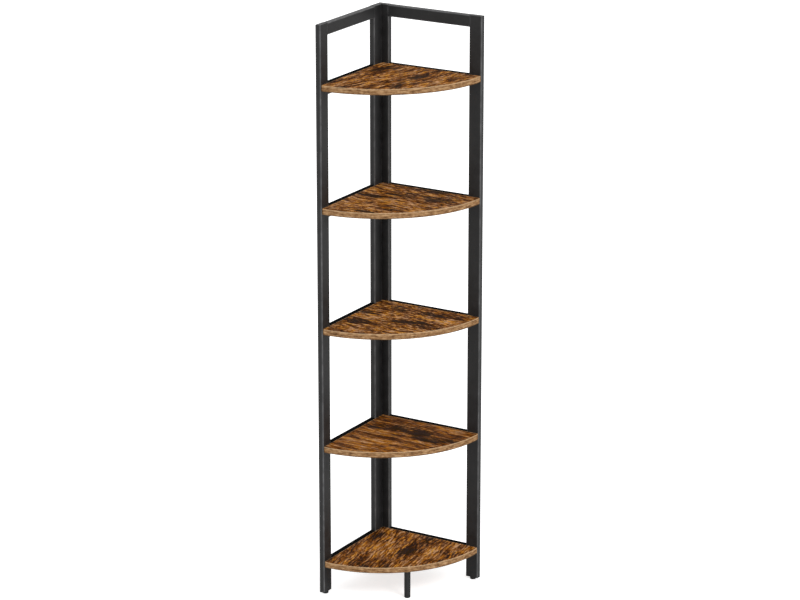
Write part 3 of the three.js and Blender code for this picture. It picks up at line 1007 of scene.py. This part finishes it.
def placed_group(tree, group, inputs):
    """The outputs of a node that holds a group."""
    made = tree.nodes.new("ShaderNodeGroup")
    made.node_tree = group
    return fill(tree, made, inputs).outputs


def fine_texture_group():
    """The small-scale texture of a coated or moulded surface: an even grain, a slow mottling,
    and light scuffs."""
    inputs = {"Vector": "NodeSocketVector", "Grain Scale": "NodeSocketFloat"}
    group, start, end = new_group("fine_texture", inputs, ("Grain", "Mottle", "Scuffs"))
    vector = start.outputs["Vector"]
    streaks = noise(group, mapped(group, vector, (900.0, 900.0, 45.0)), 1.0, 2.0)
    places = noise(group, vector, 22.0, 2.0)
    fill(group, end, {
        "Grain": noise(group, vector, start.outputs["Grain Scale"], 3.0, 0.5),
        "Mottle": noise(group, vector, 38.0, 3.0),
        "Scuffs": product(group, between(group, streaks, 0.66, 0.78), between(group, places, 0.55, 0.7)),
    })
    return group


# The parts of the boards' wood print, and how each noise is made: its scale along and across
# the grain, its turn in degrees, detail and roughness. Streaks are slow bands along the grain,
# fibres are fine lines, strokes are the short slanting marks of a saw, blots are the darker
# places, glints the palest streaks, pores fine dark dashes, tints the places where the brown
# turns golden or grey, and flecks short spots
PRINT_PARTS = {
    "Streaks": (7.0, 42.0, 0.0, 4.0, 0.6),
    "Fibres": (24.0, 185.0, 0.0, 5.0, 0.68),
    "Strokes": (75.0, 230.0, 30.0, 3.0, 0.65),
    "Blots": (15.0, 30.0, 0.0, 7.0, 0.72),
    "Glints": (18.0, 110.0, 0.0, 4.0, 0.65),
    "Pores": (130.0, 1300.0, 0.0, 2.0, 0.6),
    "Tints": (34.0, 100.0, 0.0, 3.0, 0.6),
    "Flecks": (80.0, 120.0, 10.0, 3.0, 0.68),
}


def printed_grain_group():
    """The parts of the wood print. The vector's X runs along the grain. The vector is bent a
    little first, by a slow noise, so that no line is straight, and is shifted for each part."""
    group, start, end = new_group("printed_grain", {"Vector": "NodeSocketVector"}, PRINT_PARTS)
    vector = start.outputs["Vector"]
    wave = new_node(group, "TexNoise", {"Vector": vector, "Scale": 8.0, "Detail": 2.0}).outputs["Color"]
    centred = arithmetic(group, "SUBTRACT", wave, (0.5, 0.5, 0.5), kind="VectorMath")
    bent = arithmetic(group, "MULTIPLY_ADD", centred, (0.03, 0.024, 0.0), vector, kind="VectorMath")
    for i, (label, (along, across, turn, detail, roughness)) in enumerate(PRINT_PARTS.items()):
        place = mapped(group, bent, (along, across, 1.0), turn, (i, i, 0.0))
        fill(group, end, {label: noise(group, place, 1.0, detail, roughness)})
    return group


def new_material(name):
    """A material with its shader, and the socket of the piece's own coordinates."""
    material = bpy.data.materials.new(name)
    material.use_nodes = True
    tree = material.node_tree
    place = new_node(tree, "TexCoord", {}).outputs["Object"]
    return material, tree, tree.nodes["Principled BSDF"], place


def textured_material(name, texture, grain_scale):
    """A material with its shader, and the parts of the fine texture."""
    material, tree, shader, place = new_material(name)
    parts = placed_group(tree, texture, {"Vector": place, "Grain Scale": grain_scale})
    return material, tree, shader, parts


def mottled(tree, parts, first, second):
    """Two shades of a colour mixed by the mottling."""
    return mixed_colours(tree, between(tree, parts["Mottle"], 0.3, 0.7), first, second)


def powder_coat_material(texture):
    """Black powder coat: a fine even grain like orange peel, slightly uneven gloss, and a painted
    highlight, a paler colour along the tubes' long edges."""
    material, tree, shader, parts = textured_material("black_powder_coat", texture, 1300.0)
    colour = mottled(tree, parts, (0.0085, 0.0085, 0.0088), (0.0135, 0.0133, 0.0135))
    # A painted highlight: a paler colour on the rounded long edges, where they would catch the light.
    painted_edge_highlight = product(tree, attribute(tree, "edge"), between(tree, parts["Mottle"], 0.3, 0.75, 0.45, 1.0))
    colour = mixed_colours(tree, painted_edge_highlight, colour, (0.105, 0.105, 0.108))
    scuffs = product(tree, parts["Scuffs"], 0.4)
    rough = between(tree, parts["Mottle"], 0.25, 0.75, 0.44, 0.56)
    fill(tree, shader, {
        "Base Color": mixed_colours(tree, scuffs, colour, (0.045, 0.045, 0.046)),
        "Roughness": arithmetic(tree, "MULTIPLY_ADD", parts["Scuffs"], 0.1, rough),
        "Normal": bumped(tree, parts["Grain"], 0.16, 0.0002),
        "Specular IOR Level": 0.38,
    })
    return material


def painted_shade_coat_material(texture):
    """Painted shade on top of the shelf rails: a darker, rougher powder coat without shine or the painted
    edge highlight.
    """
    material, tree, shader, parts = textured_material("painted_shade_powder_coat", texture, 1300.0)
    # These darker shades are painted shade on the rails' tops.
    shades = ((0.003, 0.003, 0.003), (0.0055, 0.0055, 0.0055))
    fill(tree, shader, {
        "Base Color": mixed_colours(tree, parts["Mottle"], *shades),
        "Roughness": between(tree, parts["Mottle"], 0.25, 0.75, 0.8, 0.95),
        "Normal": bumped(tree, parts["Grain"], 0.16, 0.0002),
        "Specular IOR Level": 0.01,
    })
    return material


def plastic_material(texture):
    """Black moulded plastic of the feet and plugs: a soft grain and slight scuffs."""
    material, tree, shader, parts = textured_material("black_moulded_plastic", texture, 2200.0)
    colour = mottled(tree, parts, (0.008, 0.008, 0.008), (0.014, 0.014, 0.014))
    fill(tree, shader, {
        "Base Color": mixed_colours(tree, parts["Scuffs"], colour, (0.04, 0.04, 0.04)),
        "Roughness": between(tree, parts["Mottle"], 0.25, 0.75, 0.5, 0.65),
        "Normal": bumped(tree, parts["Grain"], 0.25, 0.0001),
        "Specular IOR Level": 0.35,
    })
    return material


def steel_material(texture):
    """Black zinc on steel, for the screws, bolts, nuts and insert: darker and lighter places,
    and bright scuffs."""
    material, tree, shader, parts = textured_material("black_zinc_steel", texture, 3000.0)
    colour = mottled(tree, parts, (0.028, 0.029, 0.032), (0.055, 0.055, 0.058))
    fill(tree, shader, {
        "Base Color": mixed_colours(tree, parts["Scuffs"], colour, (0.3, 0.3, 0.3)),
        "Roughness": between(tree, parts["Grain"], 0.3, 0.7, 0.28, 0.42),
        "Normal": bumped(tree, parts["Grain"], 0.15, 0.0001),
        "Metallic": 0.85,
    })
    return material


def print_colour(tree, parts, dark, contrast, flecks, tone):
    """The print on a board's faces and how high it stands. Streaks, fibres, strokes and flecks
    choose a brown, dark blots lie over it, and glints shine through where there is no blot."""
    streaks, fibres, strokes = parts["Streaks"], parts["Fibres"], parts["Strokes"]
    fine = ((fibres, 1.6 * contrast), (strokes, 0.8 * contrast), (parts["Flecks"], flecks))
    level = arithmetic(tree, "ADD", weighed(tree, (streaks, 1.0), *fine), tone)
    level = arithmetic(tree, "MULTIPLY_ADD", dark, -0.13, level)
    brown = ramp(tree, level, [
        (0.26, (0.030, 0.0105, 0.0045)),
        (0.39, (0.083, 0.028, 0.0085)),
        (0.50, (0.215, 0.077, 0.018)),
        (0.63, (0.43, 0.178, 0.043)),
        (0.80, (0.72, 0.39, 0.15)),
    ])
    depth = weighed(tree, (parts["Blots"], 1.5), (fibres, -0.55), (strokes, -0.4))
    depth = arithmetic(tree, "MULTIPLY_ADD", dark, 0.40, depth)
    blot = product(tree, between(tree, depth, 0.64, 0.86), 0.9)
    brown = mixed_colours(tree, blot, brown, (0.0275, 0.0145, 0.0085))
    clear = arithmetic(tree, "SUBTRACT", 1.0, blot)
    glint = product(tree, between(tree, parts["Glints"], 0.58, 0.70), 0.55, clear)
    brown = mixed_colours(tree, glint, brown, (0.60, 0.28, 0.07))
    grey = between(tree, parts["Tints"], 0.42, 0.58)
    tint = mixed_colours(tree, grey, (1.06, 0.92, 0.36), (0.94, 1.05, 1.55))
    brown = mixed_colours(tree, 1.0, brown, tint, "MULTIPLY")
    red = between(tree, strokes, 0.35, 0.65)
    tint = mixed_colours(tree, red, (0.97, 1.04, 1.0), (1.03, 0.96, 1.0))
    brown = mixed_colours(tree, 1.0, brown, tint, "MULTIPLY")
    pore = product(tree, between(tree, parts["Pores"], 0.56, 0.68), 0.65)
    return mixed_colours(tree, pore, brown, (0.035, 0.014, 0.006)), level


def band_colour(tree, place, around, shift):
    """The edge band: fine lines along it, and marks across them. The pattern's X runs round
    the outline and its Y up the edge."""
    height = new_node(tree, "SeparateXYZ", {0: place}).outputs[2]
    unrolled = new_node(tree, "CombineXYZ", {0: around, 1: height}).outputs[0]
    lines = noise(tree, mapped(tree, unrolled, (26.0, 420.0, 1.0), shift=shift), 1.0)
    marks = noise(tree, mapped(tree, unrolled, (90.0, 160.0, 1.0), shift=shift), 1.0, 3.0)
    return ramp(tree, weighed(tree, (lines, 1.0), (marks, 0.8)), [
        (0.28, (0.10, 0.048, 0.02)),
        (0.42, (0.225, 0.118, 0.052)),
        (0.56, (0.34, 0.19, 0.088)),
        (0.72, (0.52, 0.33, 0.175)),
    ])


def board_material(grain, number, turn, looks):
    """Rustic wood print on a board, with its edge band, a paler upper rim, which is wear and partly
    a painted highlight, and a darker lower rim, which is painted shade. Each board shows another
    place of the print."""
    material, tree, shader, place = new_material(f"rustic_board_{number}")
    shift = tuple(PRINT_START + number * PRINT_STEP)
    parts = placed_group(tree, grain, {"Vector": mapped(tree, place, (1.0, 1.0, 0.0), turn, shift)})
    rim = attribute(tree, "rim")
    top, level = print_colour(tree, parts, attribute(tree, "dark"), *looks)
    side = band_colour(tree, place, attribute(tree, "around"), shift)
    colour = mixed_colours(tree, attribute(tree, "band"), top, side)
    # The paler upper rim is wear and partly a painted highlight on the rounded edge.
    upper = arithmetic(tree, "MAXIMUM", rim, 0.0)
    upper = product(tree, upper, between(tree, parts["Strokes"], 0.3, 0.6, 0.45, 1.0))
    # The darker lower rim is painted shade under the board's edge.
    lower = product(tree, arithmetic(tree, "MINIMUM", rim, 0.0), -0.75)
    colour = mixed_colours(tree, upper, colour, (0.56, 0.38, 0.22))
    fill(tree, shader, {
        "Base Color": mixed_colours(tree, lower, colour, (0.075, 0.042, 0.022)),
        "Roughness": between(tree, level, 0.3, 0.75, 0.74, 0.58),
        "Normal": bumped(tree, level, 0.25, 0.0004),
        "Specular IOR Level": 0.014,
    })
    return material


def floor_material():
    """A white floor. It keeps the shadow, and a camera ray sees a little of its own light, so
    that it comes out white beside the shadow."""
    material, tree, shader, place = new_material("white_floor")
    tree.nodes.remove(shader)
    colour = mixed_colours(tree, noise(tree, place, 3.0), (0.86, 0.86, 0.86), (0.9, 0.9, 0.9))
    diffuse = new_node(tree, "BsdfDiffuse", {"Color": colour})
    seen = new_node(tree, "LightPath", {}).outputs["Is Camera Ray"]
    glow = new_node(tree, "Emission", {"Strength": product(tree, seen, FLOOR_GLOW)})
    both = new_node(tree, "AddShader", {0: diffuse.outputs[0], 1: glow.outputs[0]})
    fill(tree, tree.nodes["Material Output"], {"Surface": both.outputs[0]})
    return material


def add_floor():
    """A wide square floor under the feet. It goes down with the front leg's foot, so that the
    unit still stands on it when all feet are turned out."""
    mesh = bpy.data.meshes.new("floor")
    signs = ((-1, -1), (1, -1), (1, 1), (-1, 1))
    corners = [(x * FLOOR_REACH, y * FLOOR_REACH, 0.0) for x, y in signs]
    mesh.from_pydata(corners, [], [(0, 1, 2, 3)])
    mesh.materials.append(floor_material())
    floor = new_object("floor", mesh)
    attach(floor, "front_leg_foot")


def add_world():
    """White for camera, glossy and transmission rays, and plain soft light for the rest."""
    world = bpy.data.worlds.new("studio")
    bpy.context.scene.world = world
    world.use_nodes = True
    tree = world.node_tree
    rays = new_node(tree, "LightPath", {}).outputs
    seen = arithmetic(tree, "MAXIMUM", rays["Is Camera Ray"], rays["Is Glossy Ray"])
    seen = arithmetic(tree, "MAXIMUM", seen, rays["Is Transmission Ray"])
    strength = arithmetic(tree, "MULTIPLY_ADD", seen, 1.0 - SOFT_LIGHT, SOFT_LIGHT)
    fill(tree, tree.nodes["Background"], {"Color": (1.0, 1.0, 1.0), "Strength": strength})


def turned_to(azimuth, elevation):
    """The rotation of a lamp or camera that looks down by the elevation, from the azimuth."""
    return math.radians(90.0 - elevation), 0.0, math.radians(azimuth)


def add_sun(name, azimuth, elevation, strength, spread):
    """A wide soft sun. Azimuth 0 shines from the front and 90 from the right."""
    light = bpy.data.lights.new(name, "SUN")
    light.energy = strength
    light.angle = math.radians(spread)
    new_object(name, light).rotation_euler = turned_to(azimuth, elevation)


def add_camera():
    """The photograph's view: from the front right, looking slightly down, with a long lens."""
    data = bpy.data.cameras.new("camera")
    data.sensor_width = 36.0
    data.lens = 143.77
    data.clip_end = 200.0
    camera = new_object("camera", data)
    camera.location = (3.90351, -6.50168, 3.15708)
    camera.rotation_euler = turned_to(30.987, 17.478)
    bpy.context.scene.camera = camera


# Darker and paler places in each board's print, from the lowest board up: x and y from the
# inner corner and length and width in shares of the board's radius, the turn in degrees, and
# the strength, below zero where paler
PATCHES = [
    [(0.50, -0.40, 0.20, 0.09, 100, 1.0), (0.09, -0.25, 0.16, 0.06, 100, 0.9),
     (0.54, -0.05, 0.12, 0.06, 100, 0.8), (0.53, -0.82, 0.06, 0.16, 40, 0.9),
     (0.35, -0.91, 0.05, 0.12, 60, 0.8), (0.87, -0.27, 0.12, 0.05, 100, 0.7),
     (0.72, -0.30, 0.16, 0.08, 100, -0.9), (0.28, -0.55, 0.22, 0.12, 100, -0.8)],
    [(0.10, -0.32, 0.16, 0.07, 0, 0.7), (0.42, -0.27, 0.24, 0.07, 0, 0.8),
     (0.73, -0.37, 0.15, 0.06, 0, 0.8), (0.18, -0.89, 0.08, 0.04, 0, 0.7),
     (0.07, -0.57, 0.12, 0.05, 0, 0.7), (0.88, -0.30, 0.10, 0.04, 0, 0.7),
     (0.60, -0.28, 0.40, 0.16, -10, 0.5),
     (0.25, -0.75, 0.22, 0.09, 0, -0.9), (0.60, -0.60, 0.18, 0.07, 0, -0.6)],
    [(0.12, -0.64, 0.17, 0.09, 0, 1.2), (0.10, -0.37, 0.12, 0.05, 0, 1.1),
     (0.43, -0.46, 0.11, 0.05, 0, 1.0), (0.62, -0.43, 0.11, 0.06, 0, 1.0),
     (0.66, -0.16, 0.15, 0.06, 0, 1.1), (0.71, -0.52, 0.08, 0.05, 0, 0.9),
     (0.12, -0.48, 0.16, 0.05, 0, -1.0), (0.35, -0.34, 0.20, 0.05, 0, -0.8),
     (0.15, -0.85, 0.14, 0.05, 0, -0.6), (0.80, -0.30, 0.12, 0.05, 0, -0.7),
     (0.22, -0.14, 0.26, 0.10, -10, 0.45)],
    [(0.14, -0.42, 0.22, 0.045, 0, 1.1), (0.30, -0.30, 0.18, 0.04, 0, 1.0),
     (0.68, -0.20, 0.26, 0.07, 0, 1.1), (0.37, -0.88, 0.12, 0.04, 0, 1.2),
     (0.50, -0.04, 0.25, 0.06, 0, 1.0), (0.52, -0.72, 0.10, 0.04, 0, 0.9),
     (0.72, -0.30, 0.12, 0.07, 0, 0.6), (0.32, -0.78, 0.10, 0.04, 0, 0.6),
     (0.16, -0.72, 0.20, 0.09, 0, -1.0), (0.50, -0.55, 0.24, 0.07, 0, -0.7)],
    [(0.56, -0.68, 0.16, 0.06, 100, 0.9), (0.57, -0.30, 0.17, 0.08, 75, 1.0),
     (0.16, -0.22, 0.16, 0.09, 75, 0.9), (0.19, -0.95, 0.06, 0.04, 60, 0.7),
     (0.36, -0.40, 0.22, 0.07, 75, -0.7), (0.80, -0.35, 0.14, 0.08, 75, -0.8)],
]
# Where the print starts, and how far on it each board's place lies
PRINT_START = np.array([-1.4, -0.8, 0.0])
PRINT_STEP = np.array([1.7, 0.9, 0.0])
# Turn of the grain in degrees, then contrast of its fine lines, weight of the flecks, and how
# much paler the print is
PRINTS = [
    (-100, (1.0, 0.3, 0.0)),
    (0, (0.8, 0.1, -0.01)),
    (0, (1.2, 1.4, -0.02)),
    (0, (1.3, 0.9, 0.012)),
    (-75, (1.2, 0.9, -0.02)),
]

texture = fine_texture_group()
grain = printed_grain_group()
coat = powder_coat_material(texture)
painted_shade_coat = painted_shade_coat_material(texture)
plastic = plastic_material(texture)
steel = steel_material(texture)
boards = [board_material(grain, number, *looks) for number, looks in enumerate(PRINTS, 1)]

add_uprights(coat)
add_rails(coat, painted_shade_coat)
add_weld_beads(coat)
add_boards(boards, PATCHES)
add_fasteners(steel)
add_weld_nuts(steel)
add_feet(plastic)
add_plugs(plastic)
add_leg(coat)
add_insert(steel)

add_floor()
add_world()
# Each sun's azimuth and elevation in degrees, its strength, and its spread in degrees
add_sun("key_sun", 70.0, 42.0, 1.3, 25.0)
add_sun("fill_sun", -20.0, 35.0, 0.35, 35.0)
add_sun("edge_sun", 59.0, 4.0, 0.7, 20.0)
add_camera()
bpy.context.scene.view_settings.view_transform = "Standard"
